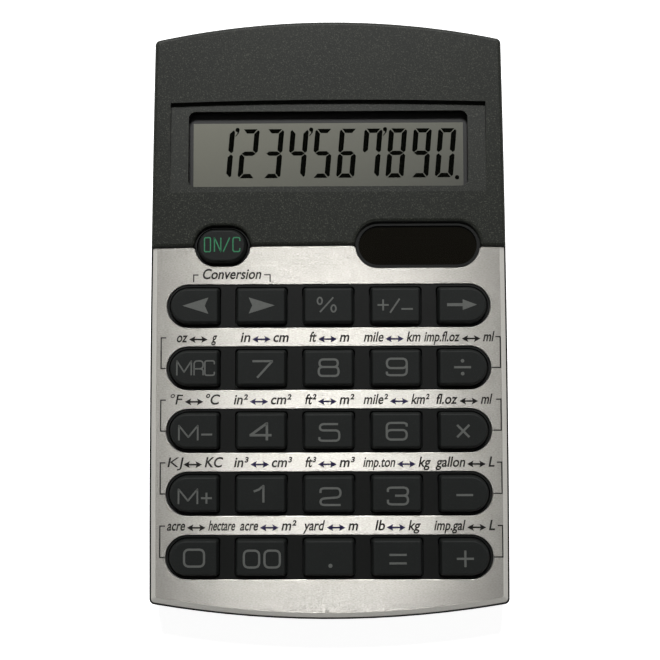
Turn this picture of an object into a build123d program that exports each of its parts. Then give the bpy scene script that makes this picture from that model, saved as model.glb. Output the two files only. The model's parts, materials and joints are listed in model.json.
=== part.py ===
from math import atan, degrees, radians, tan
import os

from build123d import *

# A pocket unit-conversion calculator, lying on its back: +X is to the right of the
# display, +Y runs from the keys towards the display and +Z rises out of the front.
# The origin is under the middle of the body, on the surface that its feet stand on.
# All sizes are in millimetres.

# Key rows
column_count = 5
row_count = 5
key_pitch_x = 13.2
key_pitch_y = 12.27
slot_end_reach = 5.5  # centre of an outer key to the end of its slot
row_slot_height = 8.6
island_gap = 0.15
key_hole_height = 7.7
web_width = 2.76  # between neighbouring key holes
key_clearance = 0.25
key_corner_radius = 0.7
key_flange_lip = 0.5
key_flange_thickness = 0.6
key_rise = 1.4  # key face above the plate
key_shoulder_rise = 0.1  # where the key's sides start to slope
key_slope_width = 0.42
key_edge_radius = 0.3
key_travel = 0.9
key_wall = 1.0
key_crown = 1.2
plunger_radius = 1.8

# Plan of the body, along its middle from the bottom edge to the top edge
bottom_margin = 12.04  # bottom edge to the last row
keys_to_housing = 12.02  # first row to the line where plate and housing meet
housing_to_panel = 10.65
panel_height = 18.05
panel_to_top = 16.55
side_margin = 3.4  # beyond the slots at the body's widest
top_corner_inset = 0.6  # how far the corners stand in from the widest place
bottom_corner_inset = 0.2
top_bow = 3.7  # how far the top edge bows out beyond its corners
bottom_bow = 3.0
widest_offset = 14.0  # the widest place below the middle
corner_radius = 1.2
inner_corner_radius = 0.5

# Heights, from the surface upwards
foot_height = 0.5
floor_thickness = 1.4
cell_height = 3.05
contact_drop = 0.55  # top of the cell down to the board's underside
board_thickness = 1.0
sheet_thickness = 0.4
dome_slack = 0.8  # height left in a dome that is pressed flat
web_thickness = 1.3
tape_thickness = 0.1
plate_thickness = 0.5
rim_drop = 0.25  # plate top down to the case's rim and its raised islands
housing_rise = 0.6  # display housing above the plate
housing_wall = 1.8
side_wall = 1.6
split_rise = 0.4  # parting line above the board's underside
draft_angle = 1.5
housing_edge_radius = 0.7
overrun = 2.0  # how far a cut runs past what it cuts

# Faceplate
rim_width = 0.2
plate_gap = 0.1
plate_bevel_width = 0.9
plate_bevel_height = 0.3
plate_edge_chamfer = 0.1
boundary_bow = 0.4
notch_radius = 0.7

# On key
on_key_side = 14.3  # its centre in from the body's left side
on_key_drop = 0.15  # its centre below the line between plate and housing
on_bay_width = 10.9
on_bay_height = 7.95
on_hole_margin = 0.35

# Display
panel_side = 3.95  # in from the body's sides
panel_drop = 1.0
panel_bow = 0.5  # how far its top edge bows out beyond its corners
window_side = 3.53  # in from the panel's sides
window_bottom_margin = 1.1
window_top_margin = 1.6
window_corner_radius = 1.4
lens_lap = 1.3  # lens beyond the window
lens_thickness = 0.8
air_gap = 0.15
glass_lap = 2.2  # glass beyond the window's sides
glass_top_lap = 1.2
glass_bottom_lap = 3.3
glass_plate_thickness = 0.55
glass_ledge = 2.2
film_lap = 0.8
film_thickness = 0.2
glass_clearance = 0.2
glass_rib = 0.8
glass_rib_depth = 2.0
display_bay_margin = 0.9  # hollow behind the display, below the rib
connector_inset = 3.0  # in from the glass's ends
connector_width = 1.6

# Solar panel
solar_side = 17.6  # its centre in from the body's right side
solar_bay_width = 24.7
solar_bay_height = 9.14
solar_rim = 0.5
solar_rim_thickness = 0.4
solar_lens_lap = 1.1
solar_lens_thickness = 0.8
solar_cell_inset = 0.3
solar_cell_thickness = 1.1
solar_clearance = 0.15
solar_foam_width = 15.0
solar_foam_height = 7.0
solar_lead_diameter = 0.6
solar_lead_reach = 2.4
solar_lead_inset = 1.6
solar_lead_bend = 0.6
solar_lead_drop = 0.8

# Circuit board and rubber dome sheet
board_side = 3.0  # in from the body's sides
board_margin = 4.7  # board and sheet beyond the centres of the outer key rows
board_top_margin = 0.9  # beyond the connector
board_corner_radius = 1.0
sheet_inset = 0.3
sheet_tab_width = 12.0
sheet_tab_reach = 5.0
dome_base_radius = 3.5
dome_top_radius = 2.1
dome_wall = 0.6
dome_crown = 0.8
pill_radius = 1.5
pill_thickness = 0.3
pad_radius = 2.1
pad_thickness = 0.05
pad_split = 0.3
chip_blob_radius = 5.5
chip_blob_height = 1.2
chip_blob_edge = 1.0
chip_blob_offset = 13.0  # right of the on key
small_chip_length = 2.0
small_chip_width = 1.25
small_chip_height = 0.8
small_chip_pitch = 4.0
small_chip_gap = 2.5
small_chip_offset = 27.0  # right of the on key
small_chip_count = 3

# Screws, posts and bosses
screw_radius = 0.8
screw_fit = 0.03
screw_clearance = 0.15
screw_head_radius = 1.6
screw_head_height = 0.9
case_screw_length = 5.0
board_screw_length = 3.0
head_clearance = 0.2
driver_width = 0.4
driver_span = 1.9
driver_depth = 0.45
top_screw_side = 7.8
top_screw_end = 8.2
bottom_screw_side = 15.3
bottom_screw_end = 4.9
boss_radius = 2.0
boss_meet_rise = 1.2  # where front and back bosses meet, above the floor
counterbore_depth = 1.3
pilot_end = 0.6  # pilot hole beyond the screw's tip
post_radius = 1.4
post_clearance = 0.25
support_radius = 1.3

# Parting lip
lip_thickness = 0.7
lip_height = 0.8
lip_clearance = 0.1

# Battery and its door
cell_radius = 5.8
cell_edge_radius = 0.3
battery_x = 3.0
battery_drop = 0.65  # its centre below the panel's top corners
well_clearance = 0.3
well_wall = 1.0
well_roof = 0.7
door_screw_gap = 1.4  # between the well and the door screw's boss
door_screw_margin = 3.5  # door beyond its screw
door_lap = 2.0  # door beyond the well
door_corner_radius = 1.5
door_thickness = 0.8
door_gap = 0.15
contact_thickness = 0.2
contact_width = 3.0
contact_bend_length = 3.0
contact_bend_gap = 4.8  # from the board's edge to where the contact turns up
contact_reach = 3.0  # how far a contact runs under the board
contact_tip = 4.0
blade_height = 2.0
contact_slot_gap = 0.3

# Feet, label recess and the back's edge
foot_radius = 3.9
foot_recess = 0.3
foot_edge_radius = 0.15
foot_side = 8.3
foot_top_end = 16.7
foot_bottom_end = 13.2
label_width = 34.0
label_height = 18.0
label_depth = 0.15
label_offset = 6.0  # below the middle
label_corner_radius = 1.0
back_bevel = 1.6
back_edge_radius = 0.4

# Levels that follow from the layers
case_bottom_z = foot_height
floor_z = case_bottom_z + floor_thickness
cell_top_z = floor_z + cell_height
well_roof_z = cell_top_z + contact_thickness
board_bottom_z = cell_top_z - contact_drop
board_top_z = board_bottom_z + board_thickness
dome_height = key_travel + dome_slack
split_z = board_bottom_z + split_rise
flange_bottom_z = board_top_z + sheet_thickness + dome_height
under_z = flange_bottom_z + key_flange_thickness
seat_z = under_z + web_thickness
plate_bottom_z = seat_z + tape_thickness
plate_top_z = plate_bottom_z + plate_thickness
rim_z = plate_top_z - rim_drop
key_top_z = plate_top_z + key_rise
housing_z = plate_top_z + housing_rise
ceiling_z = housing_z - housing_wall
lens_bottom_z = ceiling_z - lens_thickness
film_top_z = lens_bottom_z - air_gap
glass_top_z = film_top_z - film_thickness
ledge_z = glass_top_z - glass_plate_thickness
glass_bottom_z = ledge_z - glass_plate_thickness
solar_lens_top_z = rim_z - solar_rim_thickness
solar_cell_top_z = solar_lens_top_z - solar_lens_thickness
solar_cell_bottom_z = solar_cell_top_z - solar_cell_thickness
boss_meet_z = floor_z + boss_meet_rise

# Outline and places along the body
last_column = column_count - 1
last_row = row_count - 1
row_slot_length = last_column * key_pitch_x + 2 * slot_end_reach
half_width = row_slot_length / 2 + side_margin
top_corner_x = half_width - top_corner_inset
bottom_corner_x = half_width - bottom_corner_inset
keypad_length = bottom_margin + last_row * key_pitch_y + keys_to_housing
half_length = (keypad_length + housing_to_panel + panel_height + panel_to_top) / 2
top_corner_y = half_length - top_bow
bottom_corner_y = -half_length + bottom_bow
boundary_y = -half_length + keypad_length
panel_bottom_y = boundary_y + housing_to_panel
panel_top_y = panel_bottom_y + panel_height
panel_crest_y = panel_top_y + panel_bow
key_xs = [(column - last_column / 2) * key_pitch_x for column in range(column_count)]
row_ys = [boundary_y - keys_to_housing - row * key_pitch_y for row in range(row_count)]
key_hole_width = key_pitch_x - web_width
hole_margin = (row_slot_height - key_hole_height) / 2
end_reach = slot_end_reach - hole_margin
on_key_x = -half_width + on_key_side
on_key_y = boundary_y - on_key_drop
solar_x = half_width - solar_side
solar_y = boundary_y

# Sizes of the solar panel's layers
solar_lens_width = solar_bay_width - 2 * (island_gap + solar_rim) + 2 * solar_lens_lap
solar_lens_height = solar_bay_height - 2 * (island_gap + solar_rim) + 2 * solar_lens_lap
solar_cell_width = solar_lens_width - 2 * solar_cell_inset
solar_cell_height = solar_lens_height - 2 * solar_cell_inset

# Display sizes
panel_half = half_width - panel_side
window_half = panel_half - window_side
window_bottom_y = panel_bottom_y + window_bottom_margin
window_top_y = panel_top_y - window_top_margin
window_y = (window_bottom_y + window_top_y) / 2
window_height = window_top_y - window_bottom_y
glass_half = window_half + glass_lap
glass_bottom_y = window_bottom_y - glass_bottom_lap
glass_top_y = window_top_y + glass_top_lap
glass_height = glass_top_y - glass_bottom_y
connector_y = glass_bottom_y + glass_ledge / 2
display_bay_y = glass_bottom_y - glass_clearance - glass_rib - display_bay_margin

# Board, sheet, screws and feet
board_half = half_width - board_side
sheet_half = board_half - sheet_inset
board_bottom_y = row_ys[-1] - board_margin
board_top_y = connector_y + connector_width / 2 + board_top_margin
board_length = board_top_y - board_bottom_y
sheet_top_y = row_ys[0] + board_margin
chip_blob_x = on_key_x + chip_blob_offset
small_chip_x = on_key_x + small_chip_offset
post_x = (key_xs[0] + key_xs[1]) / 2
row_gap_ys = [(above + below) / 2 for above, below in zip(row_ys, row_ys[1:])]
board_screw_places = [(x, y) for x in (post_x, -post_x) for y in (row_gap_ys[0], row_gap_ys[-1])]
support_places = [(x, y) for x in (post_x, -post_x) for y in row_gap_ys[1:-1]]
top_screw_x = half_width - top_screw_side
bottom_screw_x = half_width - bottom_screw_side
case_screw_places = [
    (-top_screw_x, half_length - top_screw_end),
    (top_screw_x, half_length - top_screw_end),
    (-bottom_screw_x, -half_length + bottom_screw_end),
    (bottom_screw_x, -half_length + bottom_screw_end),
]
foot_x = half_width - foot_side
foot_ys = (-half_length + foot_bottom_end, half_length - foot_top_end)
foot_places = [(x, y) for x in (-foot_x, foot_x) for y in foot_ys]
dome_places = [(x, y) for y in row_ys for x in key_xs] + [(on_key_x, on_key_y)]

# Battery well and door
battery_y = panel_top_y - battery_drop
well_inner = cell_radius + well_clearance
well_outer = well_inner + well_wall
door_screw_x = battery_x - well_outer - door_screw_gap - boss_radius
door_left_x = door_screw_x - door_screw_margin
door_right_x = battery_x + well_inner + door_lap
door_half_height = well_inner + door_lap
door_width = door_right_x - door_left_x
door_x = (door_left_x + door_right_x) / 2
contact_bend_y = board_top_y + contact_bend_gap

key_names = [
    ["key_convert_left", "key_convert_right", "key_percent", "key_sign", "key_delete"],
    ["key_memory_recall", "key_7", "key_8", "key_9", "key_divide"],
    ["key_memory_minus", "key_4", "key_5", "key_6", "key_multiply"],
    ["key_memory_plus", "key_1", "key_2", "key_3", "key_subtract"],
    ["key_0", "key_00", "key_point", "key_equals", "key_add"],
]


def save(piece, name):
    """Labels a finished piece and writes its file."""
    piece.part.label = name
    export_step(piece.part, f"parts/{name}.step")


def body_plan(inset=0):
    """The body's outline of four shallow arcs, drawn inwards by inset."""
    top_half = top_corner_x - inset
    bottom_half = bottom_corner_x - inset
    side = half_width - inset
    top_y = top_corner_y - inset
    bottom_y = bottom_corner_y + inset
    end_y = half_length - inset
    with BuildSketch() as plan:
        with BuildLine():
            ThreePointArc((-top_half, top_y), (0, end_y), (top_half, top_y))
            ThreePointArc((top_half, top_y), (side, -widest_offset), (bottom_half, bottom_y))
            ThreePointArc((bottom_half, bottom_y), (0, -end_y), (-bottom_half, bottom_y))
            ThreePointArc((-bottom_half, bottom_y), (-side, -widest_offset), (-top_half, top_y))
        make_face()
        fillet(plan.vertices(), max(corner_radius - inset, inner_corner_radius))
    return plan.sketch


def draft_inset(z):
    """How far the draft of the case's sides draws its outline in at a height."""
    return abs(z - split_z) * tan(radians(draft_angle))


rim_inset = draft_inset(plate_top_z) + rim_width
plate_inset = rim_inset + plate_gap


def below_boundary(drop=0):
    """Everything under the line where faceplate and housing meet, lowered by drop."""
    reach_x = 2 * half_width
    end_y = boundary_y - drop - 4 * boundary_bow
    with BuildSketch() as region:
        with BuildLine():
            ThreePointArc((-reach_x, end_y), (0, boundary_y - drop), (reach_x, end_y))
            Polyline(
                (reach_x, end_y),
                (reach_x, -2 * half_length),
                (-reach_x, -2 * half_length),
                (-reach_x, end_y),
            )
        make_face()
    return region.sketch


def openings_plan(shrink=0):
    """The five key-row slots and the two bays in the faceplate, each drawn in by shrink."""
    with BuildSketch() as plan:
        with Locations(*[(0, y) for y in row_ys]):
            SlotOverall(row_slot_length - 2 * shrink, row_slot_height - 2 * shrink)
        with Locations((on_key_x, on_key_y)):
            SlotOverall(on_bay_width - 2 * shrink, on_bay_height - 2 * shrink)
        with Locations((solar_x, solar_y)):
            SlotOverall(solar_bay_width - 2 * shrink, solar_bay_height - 2 * shrink)
    return plan.sketch


def on_boundary(vertex):
    """True for a corner where a bay breaks the line between plate and housing."""
    return (
        abs(vertex.Y - boundary_y) < boundary_bow
        and abs(vertex.X) < half_width - plate_bevel_width - rim_width
    )


def plate_plan():
    """The faceplate's outline with its openings."""
    with BuildSketch() as plan:
        add(body_plan(plate_inset))
        add(below_boundary(plate_gap), mode=Mode.INTERSECT)
        add(openings_plan(), mode=Mode.SUBTRACT)
        fillet(plan.vertices().filter_by(on_boundary), notch_radius)
    return plan.sketch


def is_top_edge(edge):
    """True for the faceplate's edges along the housing and round the two bays."""
    return edge.center().Y > row_ys[0] + row_slot_height / 2


def end_cap_plan(inset):
    """A row's last key hole at its right end: a D whose round side follows the slot."""
    flat_x = -key_hole_width / 2 + inset
    half_height = key_hole_height / 2 - inset
    tip_x = end_reach - inset
    arc_x = tip_x - half_height
    with BuildSketch() as plan:
        with BuildLine():
            Polyline(
                (arc_x, half_height),
                (flat_x, half_height),
                (flat_x, -half_height),
                (arc_x, -half_height),
            )
            ThreePointArc((arc_x, -half_height), (tip_x, 0), (arc_x, half_height))
        make_face()
        fillet(plan.vertices().group_by(Axis.X)[0], key_corner_radius)
    return plan.sketch


def key_plan(column, inset=0):
    """The outline of a key hole about its own centre, drawn inwards by inset."""
    if column == last_column:
        return end_cap_plan(inset)
    with BuildSketch() as plan:
        if column == 0:
            add(end_cap_plan(inset))
            mirror(about=Plane.YZ, mode=Mode.REPLACE)
        else:
            RectangleRounded(
                key_hole_width - 2 * inset, key_hole_height - 2 * inset, key_corner_radius
            )
    return plan.sketch


def on_key_plan(inset=0):
    """The outline of the on key's hole about its own centre, drawn inwards by inset."""
    shrink = on_hole_margin + inset
    with BuildSketch() as plan:
        SlotOverall(on_bay_width - 2 * shrink, on_bay_height - 2 * shrink)
    return plan.sketch


def make_key(name, x, y, outline):
    """A moulded keycap: flange, stem, sloped crown, and a hollow round its plunger."""
    shoulder_z = plate_top_z + key_shoulder_rise
    slope = degrees(atan(key_slope_width / (key_top_z - shoulder_z)))
    with BuildPart() as key:
        with BuildSketch(Plane((x, y, flange_bottom_z))):
            add(outline(-key_flange_lip))
        extrude(amount=key_flange_thickness)
        with BuildSketch(Plane((x, y, under_z))):
            add(outline(key_clearance))
        extrude(amount=shoulder_z - under_z)
        with BuildSketch(Plane((x, y, shoulder_z))):
            add(outline(key_clearance))
        extrude(amount=key_top_z - shoulder_z, taper=slope)
        fillet(key.faces().sort_by(Axis.Z)[-1].edges(), key_edge_radius)
        with BuildSketch(Plane((x, y, flange_bottom_z))):
            add(outline(key_clearance + key_wall))
            Circle(plunger_radius, mode=Mode.SUBTRACT)
        extrude(amount=key_top_z - key_crown - flange_bottom_z, mode=Mode.SUBTRACT)
    save(key, name)


def cut_driver_cross(places, z):
    """Cuts a cross for the screwdriver up into each head, from its underside at z."""
    with Locations(*[(x, y, z) for x, y in places]):
        sunk = (Align.CENTER, Align.CENTER, Align.MIN)
        Box(driver_span, driver_width, driver_depth, align=sunk, mode=Mode.SUBTRACT)
        Box(driver_width, driver_span, driver_depth, align=sunk, mode=Mode.SUBTRACT)


def make_screws(name, places, head_top_z, length, head_radius=screw_head_radius):
    """Pan-head screws driven upwards, their heads' upper faces at head_top_z."""
    with BuildPart() as screws:
        with BuildSketch(Plane.XY.offset(head_top_z - screw_head_height)):
            with Locations(*places):
                Circle(head_radius)
        extrude(amount=screw_head_height)
        with BuildSketch(Plane.XY.offset(head_top_z)):
            with Locations(*places):
                Circle(screw_radius)
        extrude(amount=length)
        cut_driver_cross(places, head_top_z - screw_head_height)
    save(screws, name)


os.makedirs("parts", exist_ok=True)

# Front case: display housing, rim round the faceplate, islands that fill its openings
with BuildPart() as front_case:
    for z in (split_z, housing_z):
        with BuildSketch(Plane.XY.offset(z)):
            add(body_plan(draft_inset(z)))
    loft()
    with BuildSketch(Plane.XY.offset(rim_z)) as lowered:
        add(below_boundary())
        with Locations((on_key_x, on_key_y)):
            SlotOverall(on_bay_width, on_bay_height)
        with Locations((solar_x, solar_y)):
            SlotOverall(solar_bay_width, solar_bay_height)
        fillet(lowered.vertices().filter_by(on_boundary), notch_radius)
    extrude(amount=overrun, mode=Mode.SUBTRACT)
    fillet(front_case.faces().sort_by(Axis.Z)[-1].edges(), housing_edge_radius)
    with BuildSketch(Plane.XY.offset(seat_z)):
        add(body_plan(rim_inset))
        add(below_boundary(), mode=Mode.INTERSECT)
        add(openings_plan(island_gap), mode=Mode.SUBTRACT)
    extrude(amount=rim_z - seat_z, mode=Mode.SUBTRACT)
    # Sloping panel round the window, deepest at its bowed top edge
    with BuildPart(mode=Mode.SUBTRACT):
        with BuildSketch(Plane.YZ):
            with BuildLine():
                Polyline(
                    (panel_bottom_y, housing_z),
                    (panel_bottom_y, housing_z + overrun),
                    (panel_crest_y, housing_z + overrun),
                    (panel_crest_y, housing_z - panel_drop),
                    close=True,
                )
            make_face()
        extrude(amount=panel_half, both=True)
        with BuildSketch(Plane.XY.offset(housing_z - overrun)):
            with BuildLine():
                ThreePointArc(
                    (-panel_half, panel_top_y), (0, panel_crest_y), (panel_half, panel_top_y)
                )
                Polyline(
                    (panel_half, panel_top_y),
                    (panel_half, panel_bottom_y),
                    (-panel_half, panel_bottom_y),
                    (-panel_half, panel_top_y),
                )
            make_face()
        extrude(amount=2 * overrun, mode=Mode.INTERSECT)
    # Hollow inside, deeper behind the display
    with BuildSketch(Plane.XY.offset(split_z)):
        add(body_plan(side_wall))
    extrude(amount=under_z - split_z, mode=Mode.SUBTRACT)
    with BuildSketch(Plane.XY.offset(under_z)):
        add(body_plan(side_wall))
        with Locations((0, display_bay_y)):
            Rectangle(
                2 * half_width,
                2 * half_length,
                align=(Align.CENTER, Align.MIN),
                mode=Mode.INTERSECT,
            )
    extrude(amount=ceiling_z - under_z, mode=Mode.SUBTRACT)
    with BuildSketch(Plane.XY.offset(split_z)):
        add(body_plan(side_wall - lip_thickness - lip_clearance))
    extrude(amount=lip_height + lip_clearance, mode=Mode.SUBTRACT)
    # Display window and the rib that holds the glass
    with BuildSketch(Plane.XY.offset(ceiling_z)):
        with Locations((0, window_y)):
            RectangleRounded(2 * window_half, window_height, window_corner_radius)
    extrude(amount=housing_wall, mode=Mode.SUBTRACT)
    with BuildSketch(Plane.XY.offset(ceiling_z)):
        with Locations((0, (glass_bottom_y + glass_top_y) / 2)):
            outer = 2 * (glass_clearance + glass_rib)
            inner = 2 * glass_clearance
            Rectangle(2 * glass_half + outer, glass_height + outer)
            Rectangle(2 * glass_half + inner, glass_height + inner, mode=Mode.SUBTRACT)
    extrude(amount=-glass_rib_depth)
    # Solar window and the pocket behind it
    with BuildSketch(Plane.XY.offset(under_z)):
        with Locations((solar_x, solar_y)):
            Rectangle(
                solar_lens_width + 2 * solar_clearance,
                solar_lens_height + 2 * solar_clearance,
            )
    extrude(amount=solar_lens_top_z - under_z, mode=Mode.SUBTRACT)
    with BuildSketch(Plane.XY.offset(solar_lens_top_z)):
        with Locations((solar_x, solar_y)):
            SlotOverall(
                solar_bay_width - 2 * (island_gap + solar_rim),
                solar_bay_height - 2 * (island_gap + solar_rim),
            )
    extrude(amount=overrun, mode=Mode.SUBTRACT)
    # Key holes
    for column, x in enumerate(key_xs):
        with BuildSketch(Plane.XY.offset(under_z)):
            with Locations(*[(x, y) for y in row_ys]):
                add(key_plan(column))
        extrude(amount=rim_z - under_z, mode=Mode.SUBTRACT)
    with BuildSketch(Plane((on_key_x, on_key_y, under_z))):
        add(on_key_plan())
    extrude(amount=rim_z - under_z, mode=Mode.SUBTRACT)
    # Posts for the circuit board and bosses for the case screws
    with BuildSketch(Plane.XY.offset(board_top_z)):
        with Locations(*board_screw_places):
            Circle(post_radius)
    extrude(amount=under_z - board_top_z)
    with BuildSketch(Plane.XY.offset(boss_meet_z)):
        with Locations(*case_screw_places):
            Circle(boss_radius)
    extrude(until=Until.NEXT)
    case_head_z = case_bottom_z + counterbore_depth
    with BuildSketch(Plane.XY.offset(boss_meet_z)):
        with Locations(*case_screw_places):
            Circle(screw_radius + screw_fit)
    case_pilot_end_z = case_head_z + case_screw_length + pilot_end
    extrude(amount=case_pilot_end_z - boss_meet_z, mode=Mode.SUBTRACT)
    with BuildSketch(Plane.XY.offset(board_top_z)):
        with Locations(*board_screw_places):
            Circle(screw_radius + screw_fit)
    board_pilot_depth = board_screw_length - board_thickness + pilot_end
    extrude(amount=board_pilot_depth, mode=Mode.SUBTRACT)
save(front_case, "front_case")

# Brushed faceplate: bevelled along its sides and bottom, broken edges elsewhere
with BuildPart() as faceplate:
    bevel_foot_z = plate_top_z - plate_bevel_height
    for z, inset in ((bevel_foot_z, 0), (plate_top_z, plate_bevel_width)):
        with BuildSketch(Plane.XY.offset(z)):
            add(body_plan(plate_inset + inset))
    loft()
    with BuildSketch(Plane.XY.offset(bevel_foot_z)):
        add(plate_plan())
    extrude(amount=plate_bevel_height, mode=Mode.INTERSECT)
    with BuildSketch(Plane.XY.offset(plate_bottom_z)):
        add(plate_plan())
    extrude(amount=plate_thickness - plate_bevel_height)
    plate_face = faceplate.faces().sort_by(Axis.Z)[-1]
    broken = plate_face.outer_wire().edges().filter_by(is_top_edge)
    for slot_wire in plate_face.inner_wires():
        broken += slot_wire.edges()
    chamfer(broken, plate_edge_chamfer)
save(faceplate, "faceplate")

# Double-sided tape under the faceplate
with BuildPart() as faceplate_tape:
    with BuildSketch(Plane.XY.offset(seat_z)):
        add(plate_plan())
    extrude(amount=tape_thickness)
save(faceplate_tape, "faceplate_tape")

# Keys
for row, names in enumerate(key_names):
    for column, name in enumerate(names):
        make_key(
            name,
            key_xs[column],
            row_ys[row],
            lambda inset, column=column: key_plan(column, inset),
        )
make_key("key_on_clear", on_key_x, on_key_y, on_key_plan)

# Display, from the clear lens down to the connector that meets the board
with BuildPart() as display_lens:
    with BuildSketch(Plane.XY.offset(lens_bottom_z)):
        with Locations((0, window_y)):
            Rectangle(2 * (window_half + lens_lap), window_height + 2 * lens_lap)
    extrude(amount=lens_thickness)
save(display_lens, "display_lens")

with BuildPart() as display_polarizer:
    with BuildSketch(Plane.XY.offset(glass_top_z)):
        with Locations((0, window_y)):
            Rectangle(2 * (window_half + film_lap), window_height + 2 * film_lap)
    extrude(amount=film_thickness)
save(display_polarizer, "display_polarizer")

with BuildPart() as display_glass:
    hanging = (Align.CENTER, Align.MAX)
    with BuildSketch(Plane.XY.offset(ledge_z)):
        with Locations((0, glass_top_y)):
            Rectangle(2 * glass_half, glass_height, align=hanging)
    extrude(amount=glass_plate_thickness)
    with BuildSketch(Plane.XY.offset(glass_bottom_z)):
        with Locations((0, glass_top_y)):
            Rectangle(2 * glass_half, glass_height - glass_ledge, align=hanging)
    extrude(amount=glass_plate_thickness)
save(display_glass, "display_glass")

with BuildPart() as display_reflector:
    with BuildSketch(Plane.XY.offset(glass_bottom_z - film_thickness)):
        with Locations((0, window_y)):
            Rectangle(2 * (window_half + film_lap), window_height)
    extrude(amount=film_thickness)
save(display_reflector, "display_reflector")

with BuildPart() as display_connector:
    with BuildSketch(Plane.XY.offset(board_top_z)):
        with Locations((0, connector_y)):
            Rectangle(2 * (glass_half - connector_inset), connector_width)
    extrude(amount=ledge_z - board_top_z)
save(display_connector, "display_connector")

# Solar panel: smoked lens, cell, the foam that presses it up, and its two leads
with BuildPart() as solar_lens:
    with BuildSketch(Plane.XY.offset(solar_cell_top_z)):
        with Locations((solar_x, solar_y)):
            Rectangle(solar_lens_width, solar_lens_height)
    extrude(amount=solar_lens_thickness)
save(solar_lens, "solar_lens")

with BuildPart() as solar_cell:
    with BuildSketch(Plane.XY.offset(solar_cell_bottom_z)):
        with Locations((solar_x, solar_y)):
            Rectangle(solar_cell_width, solar_cell_height)
    extrude(amount=solar_cell_thickness)
save(solar_cell, "solar_cell")

with BuildPart() as solar_foam:
    with BuildSketch(Plane.XY.offset(board_top_z)):
        with Locations((solar_x, solar_y)):
            Rectangle(solar_foam_width, solar_foam_height)
    extrude(amount=solar_cell_bottom_z - board_top_z)
save(solar_foam, "solar_foam")

for name, side in (("solar_lead_positive", 1), ("solar_lead_negative", -1)):
    start_x = solar_x + side * (solar_cell_width / 2 - solar_lead_inset)
    end_y = solar_y - solar_lead_reach
    turn_z = solar_cell_bottom_z - solar_lead_drop
    with BuildPart() as lead:
        with BuildLine() as route:
            FilletPolyline(
                (start_x, solar_y, solar_cell_bottom_z),
                (start_x, solar_y, turn_z),
                (start_x, end_y, turn_z),
                (start_x, end_y, board_top_z),
                radius=solar_lead_bend,
            )
        with BuildSketch(Plane((start_x, solar_y, solar_cell_bottom_z))):
            Circle(solar_lead_diameter / 2)
        sweep()
    save(lead, name)

# Rubber dome sheet, its carbon pills, and the board's paired contact pads
with BuildPart() as dome_sheet:
    with BuildSketch(Plane.XY.offset(board_top_z)):
        with Locations((0, sheet_top_y)):
            Rectangle(
                2 * sheet_half, sheet_top_y - board_bottom_y, align=(Align.CENTER, Align.MAX)
            )
        with Locations((on_key_x, sheet_top_y)):
            Rectangle(
                sheet_tab_width,
                on_key_y + sheet_tab_reach - sheet_top_y,
                align=(Align.CENTER, Align.MIN),
            )
        with Locations(*board_screw_places):
            Circle(post_radius + post_clearance, mode=Mode.SUBTRACT)
    extrude(amount=sheet_thickness)
    dome_foot_z = board_top_z + sheet_thickness
    dome_slope = degrees(atan((dome_base_radius - dome_top_radius) / dome_height))
    with BuildSketch(Plane.XY.offset(dome_foot_z)):
        with Locations(*dome_places):
            Circle(dome_base_radius)
    extrude(amount=dome_height, taper=dome_slope)
    with BuildSketch(Plane.XY.offset(board_top_z)):
        with Locations(*dome_places):
            Circle(dome_base_radius - dome_wall)
    hollow_height = sheet_thickness + dome_height - dome_crown
    hollow_slope = degrees(
        atan((dome_base_radius - dome_wall - pill_radius) / hollow_height)
    )
    extrude(amount=hollow_height, taper=hollow_slope, mode=Mode.SUBTRACT)
save(dome_sheet, "dome_sheet")

with BuildPart() as carbon_pills:
    with BuildSketch(Plane.XY.offset(board_top_z + hollow_height)):
        with Locations(*dome_places):
            Circle(pill_radius)
    extrude(amount=-pill_thickness)
save(carbon_pills, "carbon_pills")

with BuildPart() as contact_pads:
    with BuildSketch(Plane.XY.offset(board_top_z)):
        with Locations(*dome_places):
            Circle(pad_radius)
            Rectangle(pad_split, 2 * pad_radius, mode=Mode.SUBTRACT)
    extrude(amount=pad_thickness)
save(contact_pads, "contact_pads")

# Circuit board and what is soldered under it
with BuildPart() as circuit_board:
    with BuildSketch(Plane.XY.offset(board_bottom_z)):
        with Locations((0, board_top_y)):
            RectangleRounded(
                2 * board_half,
                board_length,
                board_corner_radius,
                align=(Align.CENTER, Align.MAX),
            )
        with Locations(*board_screw_places):
            Circle(screw_radius + screw_clearance, mode=Mode.SUBTRACT)
    extrude(amount=board_thickness)
save(circuit_board, "circuit_board")

with BuildPart() as chip_blob:
    with BuildSketch(Plane((chip_blob_x, on_key_y, board_bottom_z))):
        Circle(chip_blob_radius)
    extrude(amount=-chip_blob_height)
    fillet(chip_blob.edges().group_by(Axis.Z)[0], chip_blob_edge)
save(chip_blob, "chip_blob")

chip_row_y = (small_chip_length + small_chip_gap) / 2
for name, y in (
    ("chip_capacitors", on_key_y + chip_row_y),
    ("chip_resistors", on_key_y - chip_row_y),
):
    with BuildPart() as chips:
        with BuildSketch(Plane.XY.offset(board_bottom_z)):
            with Locations((small_chip_x, y)):
                with GridLocations(small_chip_pitch, 0, small_chip_count, 1):
                    Rectangle(small_chip_width, small_chip_length)
        extrude(amount=-small_chip_height)
    save(chips, name)

make_screws("board_screws", board_screw_places, board_bottom_z, board_screw_length)

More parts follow.
